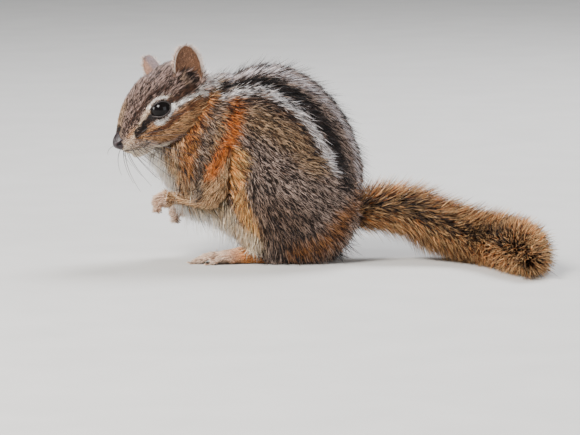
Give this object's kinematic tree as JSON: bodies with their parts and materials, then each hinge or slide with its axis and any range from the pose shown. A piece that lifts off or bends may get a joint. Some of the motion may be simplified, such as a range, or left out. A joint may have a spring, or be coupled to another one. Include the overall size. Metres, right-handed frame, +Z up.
{
  "type": "chipmunk figure",
  "caption": "Life-size still figure of a small striped chipmunk sitting up on its haunches, forepaws at its chest, with its bushy tail curved out over the ground.",
  "frame": {"origin": "middle of the small flat under the rump, at ground level", "axes": "+Z up, the animal faces -X, its left side is towards -Y"},
  "size_m": [0.135, 0.0823, 0.0674],
  "materials": {
    "coat": "short dense fur",
    "tail_coat": "long loose fur",
    "skin": "thinly haired skin",
    "eye": "wet gloss"
  },
  "bodies": {
    "root": {"head": "coat", "ear_left": "skin", "ear_right": "skin", "eye_left": "eye", "eye_right": "eye", "neck": "coat", "torso": "coat", "foreleg_left": "coat", "foreleg_right": "coat", "forepaw_left": "skin", "forepaw_right": "skin", "hind_leg_left": "coat", "hind_leg_right": "coat", "hind_foot_left": "skin", "hind_foot_right": "skin", "tail_root": "tail_coat", "tail_upper": "tail_coat", "tail_lower": "tail_coat", "tail_tip": "tail_coat"}
  },
  "joints": []
}
